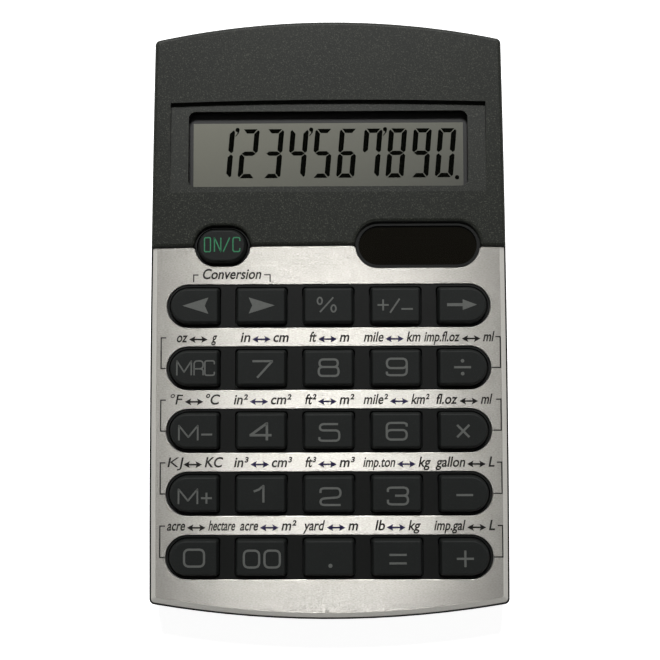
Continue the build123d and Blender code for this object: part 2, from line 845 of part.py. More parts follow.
# Back case: floor, parting lip, screw bosses, battery well and board supports
with BuildPart() as back_case:
    bevel_top_z = case_bottom_z + back_bevel
    for z, inset in ((case_bottom_z, back_bevel), (bevel_top_z, 0), (split_z, 0)):
        with BuildSketch(Plane.XY.offset(z)):
            add(body_plan(draft_inset(z) + inset))
    loft(ruled=True)
    fillet(back_case.faces().sort_by(Axis.Z)[0].edges(), back_edge_radius)
    with BuildSketch(Plane.XY.offset(floor_z)):
        add(body_plan(side_wall))
    extrude(amount=split_z - floor_z, mode=Mode.SUBTRACT)
    with BuildSketch(Plane.XY.offset(split_z)):
        add(body_plan(side_wall - lip_thickness))
        add(body_plan(side_wall), mode=Mode.SUBTRACT)
    extrude(amount=lip_height)
    with BuildSketch(Plane.XY.offset(floor_z)):
        with Locations(*case_screw_places):
            Circle(boss_radius)
    extrude(amount=boss_meet_z - floor_z)
    with BuildSketch(Plane.XY.offset(floor_z)):
        with Locations(*support_places):
            Circle(support_radius)
    extrude(amount=board_bottom_z - floor_z)
    with BuildSketch(Plane.XY.offset(floor_z)):
        with Locations((battery_x, battery_y)):
            Circle(well_outer)
    extrude(amount=well_roof_z + well_roof - floor_z)
    with BuildSketch(Plane.XY.offset(floor_z)):
        with Locations((door_screw_x, battery_y)):
            Circle(boss_radius)
    extrude(amount=board_bottom_z - floor_z)
    # Holes for the case screws, from underneath
    with BuildSketch(Plane.XY.offset(case_bottom_z)):
        with Locations(*case_screw_places):
            Circle(screw_head_radius + head_clearance)
    extrude(amount=counterbore_depth, mode=Mode.SUBTRACT)
    with BuildSketch(Plane.XY.offset(case_bottom_z)):
        with Locations(*case_screw_places):
            Circle(screw_radius + screw_clearance)
    extrude(amount=boss_meet_z - case_bottom_z, mode=Mode.SUBTRACT)
    # Battery opening, the door's recess and its screw hole
    with BuildSketch(Plane((battery_x, battery_y, case_bottom_z))):
        Circle(well_inner)
    extrude(amount=well_roof_z - case_bottom_z, mode=Mode.SUBTRACT)
    with BuildSketch(Plane((door_x, battery_y, case_bottom_z))):
        RectangleRounded(
            door_width + 2 * door_gap, 2 * (door_half_height + door_gap), door_corner_radius
        )
    extrude(amount=door_thickness, mode=Mode.SUBTRACT)
    with BuildSketch(Plane((door_screw_x, battery_y, case_bottom_z))):
        Circle(screw_radius + screw_fit)
    extrude(amount=board_screw_length + pilot_end, mode=Mode.SUBTRACT)
    # Ways out of the well for the two contacts
    with BuildSketch(Plane((battery_x, battery_y, well_roof_z))):
        Rectangle(
            contact_width + 2 * contact_slot_gap,
            well_outer + overrun,
            align=(Align.CENTER, Align.MAX),
        )
    extrude(amount=-contact_thickness - contact_slot_gap, mode=Mode.SUBTRACT)
    with BuildSketch(Plane((battery_x - cell_radius, battery_y, board_bottom_z))):
        Rectangle(
            2 * contact_slot_gap + contact_thickness,
            2 * well_outer,
        )
    extrude(amount=-blade_height - contact_slot_gap, mode=Mode.SUBTRACT)
    # Recesses for the feet, and a bare one where a label could go
    with BuildSketch(Plane.XY.offset(case_bottom_z)):
        with Locations(*foot_places):
            Circle(foot_radius)
    extrude(amount=foot_recess, mode=Mode.SUBTRACT)
    with BuildSketch(Plane((0, -label_offset, case_bottom_z))):
        RectangleRounded(label_width, label_height, label_corner_radius)
    extrude(amount=label_depth, mode=Mode.SUBTRACT)
save(back_case, "back_case")

make_screws("case_screws", case_screw_places, case_head_z, case_screw_length)

# Battery door with the plug that carries the cell, and its countersunk screw
with BuildPart() as battery_door:
    with BuildSketch(Plane((door_x, battery_y, case_bottom_z))):
        RectangleRounded(door_width, 2 * door_half_height, door_corner_radius)
    extrude(amount=door_thickness)
    with BuildSketch(Plane((battery_x, battery_y, case_bottom_z + door_thickness))):
        Circle(well_inner - door_gap)
    extrude(amount=floor_thickness - door_thickness)
    with Locations((door_screw_x, battery_y, case_bottom_z)):
        Cone(
            screw_head_radius + screw_fit,
            screw_radius + screw_fit,
            door_thickness,
            align=(Align.CENTER, Align.CENTER, Align.MIN),
            mode=Mode.SUBTRACT,
        )
save(battery_door, "battery_door")

with BuildPart() as battery_door_screw:
    with Locations((door_screw_x, battery_y, case_bottom_z)):
        standing = (Align.CENTER, Align.CENTER, Align.MIN)
        Cone(screw_head_radius, screw_radius, door_thickness, align=standing)
        Cylinder(screw_radius, board_screw_length, align=standing)
    cut_driver_cross([(door_screw_x, battery_y)], case_bottom_z)
save(battery_door_screw, "battery_door_screw")

# Button cell and its two contacts, which press up against the board
with BuildPart() as button_cell:
    with BuildSketch(Plane((battery_x, battery_y, floor_z))):
        Circle(cell_radius)
    extrude(amount=cell_height)
    fillet(button_cell.edges().group_by(Axis.Z)[-1], cell_edge_radius)
    fillet(button_cell.edges().group_by(Axis.Z)[0], cell_edge_radius)
save(button_cell, "button_cell")

with BuildPart() as contact_negative:
    with BuildSketch(Plane.YZ.offset(battery_x - contact_width / 2)):
        with BuildLine():
            low_z = board_bottom_z - contact_thickness
            Polyline(
                (battery_y + contact_tip, cell_top_z),
                (contact_bend_y + contact_bend_length, cell_top_z),
                (contact_bend_y, low_z),
                (board_top_y - contact_reach, low_z),
                (board_top_y - contact_reach, board_bottom_z),
                (contact_bend_y, board_bottom_z),
                (contact_bend_y + contact_bend_length, well_roof_z),
                (battery_y + contact_tip, well_roof_z),
                close=True,
            )
        make_face()
    extrude(amount=contact_width)
save(contact_negative, "contact_negative")

with BuildPart() as contact_positive:
    blade_x = battery_x - cell_radius - contact_thickness / 2
    with BuildSketch(Plane((blade_x, battery_y + contact_tip, board_bottom_z))):
        Rectangle(
            contact_thickness,
            battery_y + contact_tip - board_top_y + contact_reach,
            align=(Align.CENTER, Align.MAX),
        )
    extrude(amount=-blade_height)
save(contact_positive, "contact_positive")

# Rubber feet
with BuildPart() as rubber_feet:
    with BuildSketch():
        with Locations(*foot_places):
            Circle(foot_radius)
    extrude(amount=foot_height + foot_recess)
    fillet(rubber_feet.edges().group_by(Axis.Z)[0], foot_edge_radius)
save(rubber_feet, "rubber_feet")
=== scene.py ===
import json
import math

import bmesh
import bpy
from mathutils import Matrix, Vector


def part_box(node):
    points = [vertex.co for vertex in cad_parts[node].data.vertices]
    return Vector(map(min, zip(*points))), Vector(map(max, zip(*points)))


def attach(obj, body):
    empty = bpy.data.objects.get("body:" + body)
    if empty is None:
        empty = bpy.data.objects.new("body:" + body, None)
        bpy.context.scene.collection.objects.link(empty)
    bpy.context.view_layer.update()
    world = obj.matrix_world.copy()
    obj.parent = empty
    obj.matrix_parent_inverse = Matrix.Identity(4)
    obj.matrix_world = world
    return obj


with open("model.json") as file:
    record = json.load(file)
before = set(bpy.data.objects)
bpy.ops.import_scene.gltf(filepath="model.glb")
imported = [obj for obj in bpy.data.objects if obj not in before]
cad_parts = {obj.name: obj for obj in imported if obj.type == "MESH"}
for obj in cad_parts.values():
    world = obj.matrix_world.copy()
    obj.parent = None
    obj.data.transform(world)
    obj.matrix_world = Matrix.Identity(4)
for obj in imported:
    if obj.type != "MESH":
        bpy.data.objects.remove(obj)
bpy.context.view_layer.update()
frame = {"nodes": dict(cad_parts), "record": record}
nodes = frame["nodes"]
print("frame loaded:", len(nodes), "nodes")


class Wire:
    # one output in a finish's node tree, which sums like a number
    def __init__(self, finish, socket):
        self.finish = finish
        self.socket = socket

    def sum(self, operation, first, second):
        return self.finish.node("Math", {"operation": operation}, {0: first, 1: second})

    def __add__(self, other):
        return self.sum("ADD", self, other)

    def __radd__(self, other):
        return self.sum("ADD", other, self)

    def __sub__(self, other):
        return self.sum("SUBTRACT", self, other)

    def __rsub__(self, other):
        return self.sum("SUBTRACT", other, self)

    def __mul__(self, other):
        return self.sum("MULTIPLY", self, other)

    def __rmul__(self, other):
        return self.sum("MULTIPLY", other, self)


class Finish:
    # one material, with its shader's fixed values set on the shader itself
    def __init__(self, name, fixed=None):
        self.material = bpy.data.materials.new(name)
        self.material.use_nodes = True
        self.tree = self.material.node_tree
        self.shader = self.tree.nodes["Principled BSDF"]
        for socket, value in (fixed or {}).items():
            self.shader.inputs[socket].default_value = value

    def join(self, value, socket):
        if isinstance(value, Wire):
            self.tree.links.new(value.socket, socket)
        else:
            socket.default_value = value

    def node(self, kind, settings=None, inputs=None, output=0):
        made = self.tree.nodes.new("ShaderNode" + kind)
        for word, value in (settings or {}).items():
            if word == "stops":
                while len(made.color_ramp.elements) < len(value):
                    made.color_ramp.elements.new(1)
                for stop, (position, level) in zip(made.color_ramp.elements, value):
                    stop.position = position
                    stop.color = (level, level, level, 1)
            else:
                setattr(made, word, value)
        for word, value in (inputs or {}).items():
            self.join(value, made.inputs[word])
        return Wire(self, made.outputs[output])

    def feed(self, **links):
        for word, value in links.items():
            self.join(value, self.shader.inputs[word.replace("_", " ")])

    def show(self, shader):
        # another shader in place of the plain one
        self.tree.links.new(shader.socket, self.tree.nodes["Material Output"].inputs["Surface"])
        self.tree.nodes.remove(self.shader)

    def spot(self):
        # object coordinates, in metres
        return self.node("TexCoord", output="Object")

    def axes(self, vector, words):
        return [self.node("SeparateXYZ", None, {0: vector}, word) for word in words]

    def place(self, sizes):
        # object coordinates, with one unit for each size in millimetres
        if not isinstance(sizes, tuple):
            sizes = (sizes, sizes, sizes)
        scale = tuple(1000 / size for size in sizes)
        return self.node("VectorMath", {"operation": "MULTIPLY"}, {0: self.spot(), 1: scale})

    def noise(self, sizes, detail=2, roughness=0.5):
        inputs = {"Vector": self.place(sizes), "Scale": 1, "Detail": detail, "Roughness": roughness}
        return self.node("TexNoise", None, inputs)

    def ramp(self, value, low, high):
        # 0 up to the low value and 1 from the high one
        return self.node("ValToRGB", {"stops": ((low, 0), (high, 1))}, {"Fac": value})

    def blend(self, share, low, high):
        return self.node("Mix", {"data_type": "RGBA"}, {0: share, 6: low, 7: high}, output=2)

    def tint(self, share, look, low="dark", high="light"):
        return self.blend(share, shade(*look[low]), shade(*look[high]))

    def less(self, value, limit):
        return self.node("Math", {"operation": "LESS_THAN"}, {0: value, 1: limit})

    def bump(self, height, depth):
        # depth in millimetres
        return self.node("Bump", None, {"Strength": 1, "Distance": depth / 1000, "Height": height})


def shade(red, green, blue):
    # a screen colour, 0 to 255, as the linear colour the shader wants
    def linear(value):
        value /= 255
        return value / 12.92 if value < 0.04045 else ((value + 0.055) / 1.055) ** 2.4

    return (linear(red), linear(green), linear(blue), 1)


# the looks below give colours from 0 to 255, and the sizes of grain, marks and pits in millimetres
mouldLook = {"speck": (96, 98, 88), "grain": 0.28, "speckSize": 0.8, "speckSpan": (0.56, 0.75),
             "speckShare": 0.5, "mottle": 9, "pit": 0.02, "roughness": 0.48, "roughSpread": 0.3, "sheen": 0.17}
# channelEnds: the channels that the keys stand in, where a darker shade is painted, are below this y and this z
housingLook = dict(mouldLook, dark=(25, 27, 24), light=(31, 33, 28), channel=(19, 20, 19),
                   channelEnds=(19.0, 9.8))
backLook = dict(mouldLook, dark=(44, 45, 45), light=(52, 53, 53), speckShare=0.2)
keyLook = {"dark": (24, 26, 25), "light": (29, 31, 30), "speck": (64, 66, 65), "grain": 0.22, "speckSize": 0.8,
           "speckSpan": (0.6, 0.75), "speckShare": 0.2, "mottle": 4, "pit": 0.008, "roughness": 0.56,
           "roughSpread": 0.2, "sheen": 0.14}
blobLook = dict(keyLook, dark=(18, 18, 18), light=(26, 26, 25), grain=0.5)
capacitorLook = dict(keyLook, dark=(120, 98, 72), light=(146, 122, 92), speck=(170, 150, 120))
resistorLook = dict(keyLook, dark=(24, 24, 26), light=(34, 34, 36))


def grainedPlastic(name, look):
    # spark-eroded moulding: fine pits, pale specks where grains catch light, slow mottling
    finish = Finish(name, {"Specular IOR Level": look["sheen"]})
    grain = finish.noise(look["grain"], 3, 0.6)
    specks = finish.ramp(finish.noise(look["grain"] * look["speckSize"], 1), *look["speckSpan"])
    base = finish.tint(finish.noise(look["mottle"]), look)
    if "channel" in look:
        # painted shade in the channels that the keys stand in: darker and smooth
        along, height = finish.axes(finish.spot(), "YZ")
        endY, topZ = (limit / 1000 for limit in look["channelEnds"])
        channelShadeMask = finish.less(along, endY) * finish.less(height, topZ)
        base = finish.blend(channelShadeMask, base, shade(*look["channel"]))
        specks = specks * (1 - channelShadeMask)
    finish.feed(
        Base_Color=finish.blend(specks * look["speckShare"], base, shade(*look["speck"])),
        Roughness=look["roughness"] + (grain - 0.5) * look["roughSpread"],
        Normal=finish.bump(grain, look["pit"]),
    )
    return finish.material


# the edge colour is a painted highlight on the bevel and cut edges
plateLook = {"dark": (109, 106, 100), "light": (144, 143, 139), "edge": (196, 194, 188), "flatFrom": 0.985,
             "hair": (1.2, 0.004, 1.2), "streak": (0.45, 0.16, 1), "streakSpan": (0.3, 0.7),
             "cloud": (30, 12, 9), "cloudShare": 0.2, "lean": 0.355, "leanSpread": 0.9, "satin": 0.55,
             "brushed": 0.19, "share": 0.28, "shareSpread": 0.12}


def brushedMetal(name, look):
    # a satin sheet with fine scratches along X, each with one wall that leans up the plate and one down it
    finish = Finish(name)
    hair = finish.noise(look["hair"], 1)
    streak = finish.ramp(finish.noise(look["streak"], 2, 0.7), *look["streakSpan"])
    tone = streak * (1 - look["cloudShare"]) + finish.noise(look["cloud"]) * look["cloudShare"]
    surface = finish.node("NewGeometry", output="Normal")
    sloping = finish.less(finish.axes(surface, "Z")[0], look["flatFrom"])
    colour = finish.blend(sloping, finish.tint(tone, look), shade(*look["edge"]))  # painted highlight on the bevel and cut edges
    metal = {"Base Color": colour, "Metallic": 1.0}
    walls = []
    for side in (1, -1):
        slope = finish.node("CombineXYZ", None, {1: (hair - 0.5) * look["leanSpread"] + side * look["lean"]})
        leaning = finish.node("VectorMath", {"operation": "ADD"}, {0: surface, 1: slope})
        tilted = finish.node("VectorMath", {"operation": "NORMALIZE"}, {0: leaning})
        walls.append(finish.node("BsdfPrincipled", None, dict(metal, Roughness=look["brushed"], Normal=tilted)))
    scratches = finish.node("MixShader", None, {0: 0.5, 1: walls[0], 2: walls[1]})
    satin = finish.node("BsdfPrincipled", None, dict(metal, Roughness=look["satin"]))
    share = look["share"] + (streak - 0.5) * look["shareSpread"]
    finish.show(finish.node("MixShader", None, {0: share, 1: satin, 2: scratches}))
    return finish.material


sheetLook = {"ior": 1.5, "coat": 0, "coatRoughness": 0.05, "haze": 9, "smears": (14, 3, 5),
             "smearSpan": (0.45, 0.8), "smear": 0.04}
lensLook = dict(sheetLook, dark=(8, 9, 8), light=(12, 13, 12), roughness=0.05, alpha=0.03, glare=0.4,
                ior=1.49, coat=1)
smokedLook = dict(sheetLook, dark=(15, 13, 8), light=(19, 17, 11), roughness=0.12, alpha=0.85, glare=0.14,
                  ior=1.35)
# the film's frame colour is a black band at both ends and a painted shadow along the top
filmLook = dict(sheetLook, dark=(75, 76, 67), light=(119, 119, 105), roughness=0.45, haze=20, hazeShare=0.1,
                drift=(-10, 30.8, 0), driftFrom=-0.57, frame=(7, 7, 6), frameInset=1.55, frameTop=2.8)
glassLook = dict(sheetLook, dark=(150, 152, 138), light=(162, 164, 150), roughness=0.05, alpha=0.5,
                 glare=0.4, coat=0.5)
reflectorLook = dict(sheetLook, dark=(170, 170, 158), light=(186, 186, 174), roughness=0.45)
solarLook = dict(sheetLook, dark=(34, 22, 26), light=(48, 30, 34), roughness=0.2, haze=3, coat=0.6)


def smoothSheet(name, look):
    # film, glass and lacquer: clear or coloured, with faint handling marks
    finish = Finish(name, {"IOR": look["ior"], "Coat Roughness": look["coatRoughness"]})
    haze = finish.noise(look["haze"], 3)
    if "drift" in look:
        # painted light falloff, as a display looks from one side: paler towards the top left corner, darker
        # towards the lower right
        inputs = {0: finish.spot(), 1: look["drift"]}
        along = finish.node("VectorMath", {"operation": "DOT_PRODUCT"}, inputs, "Value")
        haze = haze * look["hazeShare"] + along + look["driftFrom"]
    smear = finish.ramp(finish.noise(look["smears"]), *look["smearSpan"])
    colour = finish.tint(haze, look)
    if "frame" in look:
        # painted shadow along the top, where the window's upper edge shades the film, and a black band along
        # both ends
        low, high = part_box("display_polarizer")
        reach = (high.x - low.x) / 2 - look["frameInset"] / 1000
        across, along = finish.axes(finish.spot(), "XY")
        inEnds = finish.less(finish.node("Math", {"operation": "ABSOLUTE"}, {0: across}), reach)
        clear = inEnds * finish.less(along, high.y - look["frameTop"] / 1000)
        colour = finish.blend(clear, shade(*look["frame"]), colour)
    finish.feed(
        Base_Color=colour,
        Roughness=look["roughness"] + smear * look["smear"],
        Coat_Weight=look["coat"],
    )
    if "alpha" in look:
        slant = finish.node("LayerWeight", None, {"Blend": 0.2}, "Facing")
        finish.feed(Alpha=look["alpha"] + slant * look["glare"])
    return finish.material


rubberLook = {"gloss": 0.3, "bloom": 0, "patch": 6, "roughSpread": 0.1}
tapeLook = dict(rubberLook, dark=(34, 34, 34), light=(48, 48, 47), grain=0.4, roughness=0.7, pit=0.02)
footLook = dict(rubberLook, dark=(26, 26, 26), light=(36, 36, 35), grain=0.25, roughness=0.75, pit=0.015,
                bloom=0.2)
domeLook = dict(rubberLook, dark=(150, 152, 150), light=(176, 178, 174), grain=0.5, roughness=0.6, pit=0.01)
carbonLook = dict(rubberLook, dark=(22, 22, 23), light=(34, 34, 35), grain=0.15, roughness=0.65, pit=0.01)
connectorLook = dict(rubberLook, dark=(150, 130, 120), light=(200, 170, 160), grain=0.3, roughness=0.6,
                     pit=0.01)
foamLook = dict(rubberLook, dark=(52, 52, 54), light=(70, 70, 72), grain=0.6, roughness=0.9, pit=0.1)


def softRubber(name, look):
    # rubber, tape and foam: a fine skin over broad pale and dark patches
    finish = Finish(name, {"Specular IOR Level": look["gloss"], "Sheen Weight": look["bloom"]})
    patch = finish.noise(look["patch"])
    finish.feed(
        Base_Color=finish.tint(patch, look),
        Roughness=look["roughness"] + (patch - 0.5) * look["roughSpread"],
        Normal=finish.bump(finish.noise(look["grain"], 3, 0.6), look["pit"]),
    )
    return finish.material


screwLook = {"dark": (96, 96, 98), "light": (150, 150, 150), "marks": (0.6, 0.1, 0.6), "tarnish": 1.5,
             "depth": 0.01, "roughness": 0.35, "roughSpread": 0.15}
cellLook = dict(screwLook, dark=(170, 170, 168), light=(205, 204, 200), roughness=0.25)
contactLook = dict(screwLook, dark=(160, 156, 146), light=(200, 196, 184), roughness=0.3)
wireLook = dict(screwLook, dark=(170, 168, 165), light=(205, 203, 200))


def platedMetal(name, look):
    # turned or pressed metal with a light tarnish and fine rubbing marks
    finish = Finish(name)
    tarnish = finish.noise(look["tarnish"], 3)
    finish.feed(
        Base_Color=finish.tint(tarnish, look),
        Metallic=1.0,
        Roughness=look["roughness"] + (tarnish - 0.5) * look["roughSpread"],
        Normal=finish.bump(finish.noise(look["marks"], 3, 0.6), look["depth"]),
    )
    return finish.material


boardLook = {"dark": (16, 62, 34), "light": (34, 96, 54), "thread": 0.8, "threadShare": 0.35, "weave": 0.01,
             "patch": 8, "patchShare": 0.5, "roughness": 0.35, "roughSpread": 0.1, "coat": 0.5,
             "coatRoughness": 0.15}


def wovenBoard(name, look):
    # glass cloth under green lacquer
    finish = Finish(name, {"Coat Roughness": look["coatRoughness"]})
    threads = finish.node("TexBrick", None, {"Vector": finish.place(look["thread"]), "Scale": 1}, "Fac")
    patch = finish.noise(look["patch"])
    finish.feed(
        Base_Color=finish.tint(threads * look["threadShare"] + patch * look["patchShare"], look),
        Roughness=look["roughness"] + patch * look["roughSpread"],
        Coat_Weight=look["coat"],
        Normal=finish.bump(threads, look["weave"]),
    )
    return finish.material


inkLook = {"cover": 0.35, "roughSpread": 0.15, "depth": 0.004, "sheen": 0.3}
legendInk = dict(inkLook, thin=(80, 82, 79), thick=(95, 97, 94), roughness=0.55)
onInk = dict(inkLook, thin=(34, 104, 68), thick=(48, 128, 88), roughness=0.5)
labelInk = dict(inkLook, thin=(16, 15, 15), thick=(11, 10, 10), roughness=0.7, sheen=0.12)
arrowInk = dict(inkLook, thin=(38, 34, 66), thick=(28, 25, 52), roughness=0.7, sheen=0.12)
digitInk = dict(inkLook, thin=(10, 11, 7), thick=(6, 7, 5), roughness=0.75, sheen=0)


def printedInk(name, look):
    # thin printed ink: slightly uneven cover and a dull skin
    finish = Finish(name, {"Specular IOR Level": look["sheen"]})
    cover = finish.noise(look["cover"], 3, 0.6)
    finish.feed(
        Base_Color=finish.tint(cover, look, "thin", "thick"),
        Roughness=look["roughness"] + (cover - 0.5) * look["roughSpread"],
        Normal=finish.bump(cover, look["depth"]),
    )
    return finish.material


finishes = {
    "case_plastic": grainedPlastic("housingPlastic", housingLook),
    "back_plastic": grainedPlastic("backPlastic", backLook),
    "key_plastic": grainedPlastic("keyPlastic", keyLook),
    "blob": grainedPlastic("chipEpoxy", blobLook),
    "capacitor": grainedPlastic("capacitorCeramic", capacitorLook),
    "resistor": grainedPlastic("resistorGlaze", resistorLook),
    "plate_metal": brushedMetal("brushedAluminium", plateLook),
    "screw_steel": platedMetal("screwSteel", screwLook),
    "cell_steel": platedMetal("cellSteel", cellLook),
    "contact_steel": platedMetal("contactSpringSteel", contactLook),
    "tinned_wire": platedMetal("tinnedWire", wireLook),
    "clear_lens": smoothSheet("clearWindow", lensLook),
    "smoked_lens": smoothSheet("smokedWindow", smokedLook),
    "polarizer": smoothSheet("polarisingFilm", filmLook),
    "display_glass": smoothSheet("displayGlass", glassLook),
    "reflector": smoothSheet("reflectorFoil", reflectorLook),
    "solar_cell": smoothSheet("solarCellFilm", solarLook),
    "tape": softRubber("foamTape", tapeLook),
    "foot_rubber": softRubber("footRubber", footLook),
    "dome_rubber": softRubber("domeSilicone", domeLook),
    "carbon": softRubber("carbonPill", carbonLook),
    "connector_rubber": softRubber("zebraStrip", connectorLook),
    "foam": softRubber("openFoam", foamLook),
    "board": wovenBoard("boardLaminate", boardLook),
}
inks = {
    "legend": printedInk("legendGreyInk", legendInk),
    "on": printedInk("onKeyGreenInk", onInk),
    "label": printedInk("labelBlackInk", labelInk),
    "arrow": printedInk("arrowVioletInk", arrowInk),
    "digit": printedInk("digitSegments", digitInk),
}
for part in frame["record"]["subparts"]:
    for place in nodes[part["node"]].material_slots:
        place.material = finishes[part["material_slot"]]
print("finishes on the case, keys, display and insides:", len(finishes))

# printed shapes are drawn in millimetres. Crossing ones differ in height, so that no two faces share a plane.
printWork = {"crossing": 0.002, "cornerSteps": 6, "nearest": 0.001, "mitre": 0.35, "dotSides": 28}


def softened(points, radius, closed=False):
    # a path with its corners rounded by short curves and its repeated points left out
    points = [Vector(point) for point in points]
    steps, nearest = printWork["cornerSteps"], printWork["nearest"]
    smooth = []
    for index, corner in enumerate(points):
        if not closed and index in (0, len(points) - 1):
            smooth.append(corner)
            continue
        before = points[index - 1] - corner
        after = points[(index + 1) % len(points)] - corner
        start = before * min(radius / before.length, 0.5)
        end = after * min(radius / after.length, 0.5)
        for step in range(steps + 1):
            share = step / steps
            smooth.append(corner + start * (1 - share) ** 2 + end * share**2)
    kept = smooth[:1]
    for spot in smooth[1:]:
        if (spot - kept[-1]).length > nearest:
            kept.append(spot)
    if closed and (kept[0] - kept[-1]).length < nearest:
        kept.pop()
    return kept


def addPrism(mesh, rings, low, high, closed):
    # a band between two edges of equal length, given as (left, right) pairs
    rows = []
    for left, right in rings:
        spots = [(left, high), (right, high), (right, low), (left, low)]
        rows.append([mesh.verts.new((x / 1000, y / 1000, z / 1000)) for (x, y), z in spots])
    last = len(rows) if closed else len(rows) - 1
    for index in range(last):
        here, there = rows[index], rows[(index + 1) % len(rows)]
        for side in range(4):
            other = (side + 1) % 4
            mesh.faces.new((here[side], here[other], there[other], there[side]))
    if not closed:
        mesh.faces.new(rows[0][::-1])
        mesh.faces.new(rows[-1])


def addRibbon(mesh, path, width, low, high, closed=False):
    # an even stroke along a path, mitred at its corners
    path = [Vector(spot) for spot in path]
    rings = []
    for index, here in enumerate(path):
        hasBefore, hasAfter = closed or index > 0, closed or index < len(path) - 1
        before = (here - path[index - 1]).normalized() if hasBefore else None
        after = (path[(index + 1) % len(path)] - here).normalized() if hasAfter else None
        before, after = before or after, after or before
        along = (before + after).normalized()
        reach = width / 2 / max(along.dot(before), printWork["mitre"])
        across = Vector((-along.y, along.x)) * reach
        rings.append((here + across, here - across))
    addPrism(mesh, rings, low, high, closed)


def addPlate(mesh, outline, low, high):
    # a flat cut-out shape, its outline given anticlockwise
    top = [mesh.verts.new((x / 1000, y / 1000, high / 1000)) for x, y in outline]
    foot = [mesh.verts.new((x / 1000, y / 1000, low / 1000)) for x, y in outline]
    mesh.faces.new(top)
    mesh.faces.new(foot[::-1])
    for index in range(len(top)):
        other = (index + 1) % len(top)
        mesh.faces.new((top[index], foot[index], foot[other], top[other]))


def moved(outline, x, y):
    return [(x + px, y + py) for px, py in outline]


def roundDot(x, y, radius, tall=1):
    sides = printWork["dotSides"]
    turns = [math.tau * step / sides for step in range(sides)]
    return [(x + radius * math.cos(turn), y + radius * tall * math.sin(turn)) for turn in turns]


def finished(mesh, name, body, ink):
    # turns mesh work into a piece that rides on a body
    bmesh.ops.recalc_face_normals(mesh, faces=mesh.faces)
    data = bpy.data.meshes.new(name)
    mesh.to_mesh(data)
    mesh.free()
    data.materials.append(ink)
    piece = bpy.data.objects.new(name, data)
    bpy.context.scene.collection.objects.link(piece)
    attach(piece, body)


# stroke letters for the keys: a corner radius in millimetres, then paths in a unit box
letters = {
    "0": (1.0, [[(0, 0), (1, 0), (1, 1), (0, 1), (0, 0)]]),
    "1": (0.1, [[(0, 0.66), (0.55, 0.78), (1, 1), (1, 0)]]),
    "2": (0.9, [[(0, 0.72), (0, 1), (1, 1), (1, 0.46), (0, 0.38), (0, 0), (1, 0)]]),
    "3": (0.9, [[(0, 0.74), (0, 1), (1, 1), (1, 0.52), (0.36, 0.52)],
                [(0.36, 0.52), (1, 0.52), (1, 0), (0, 0), (0, 0.28)]]),
    "4": (0.05, [[(0.78, 0), (0.78, 1), (0, 0.3)], [(-0.04, 0.3), (1, 0.3)]]),
    "5": (0.8, [[(0.94, 1), (0.04, 1), (0.02, 0.62), (1, 0.62), (1, 0), (0, 0), (0, 0.22)]]),
    "6": (0.9, [[(0, 0), (1, 0), (1, 0.57), (0, 0.57), (0, 0)],
                [(0, 0.28), (0, 1), (1, 1), (1, 0.78)]]),
    "7": (0.1, [[(0, 1), (1, 1), (0.24, 0)]]),
    "8": (0.8, [[(0.04, 0.54), (0.96, 0.54), (0.96, 1), (0.04, 1), (0.04, 0.54)],
                [(0, 0), (1, 0), (1, 0.54), (0, 0.54), (0, 0)]]),
    "9": (0.9, [[(1, 1), (0, 1), (0, 0.43), (1, 0.43), (1, 1)],
                [(1, 0.72), (1, 0), (0, 0), (0, 0.22)]]),
    "M": (0.02, [[(0, 0), (0, 1), (0.5, 0.22), (1, 1), (1, 0)]]),
    "R": (0.7, [[(0, 0), (0, 1), (1, 1), (1, 0.45), (0, 0.45)], [(0.4, 0.45), (1, 0.45), (1, 0)]]),
    "C": (0.45, [[(1, 0.76), (1, 1), (0, 1), (0, 0), (1, 0), (1, 0.24)]]),
    "O": (0.3, [[(0, 0), (1, 0), (1, 1), (0, 1), (0, 0)]]),
    "N": (0.02, [[(0, 0), (0, 1), (1, 0), (1, 1)]]),
    "/": (0.02, [[(0, 0), (1, 1)]]),
    "\\": (0.02, [[(0, 1), (1, 0)]]),
    "-": (0.02, [[(0, 0.5), (1, 0.5)]]),
    "|": (0.02, [[(0.5, 0), (0.5, 1)]]),
}


def addLetter(mesh, letter, x, y, width, height, stroke, low, high):
    # x and y are the middle of the letter, width and height its outer size
    radius, paths = letters[letter]
    spanX, spanY = width - stroke, height - stroke
    for order, path in enumerate(paths):
        spots = [(x + (px - 0.5) * spanX, y + (py - 0.5) * spanY) for px, py in path]
        closed = path[0] == path[-1]
        if closed:
            spots = spots[:-1]
        top = high + order * printWork["crossing"]
        addRibbon(mesh, softened(spots, radius, closed), stroke, low, top, closed)


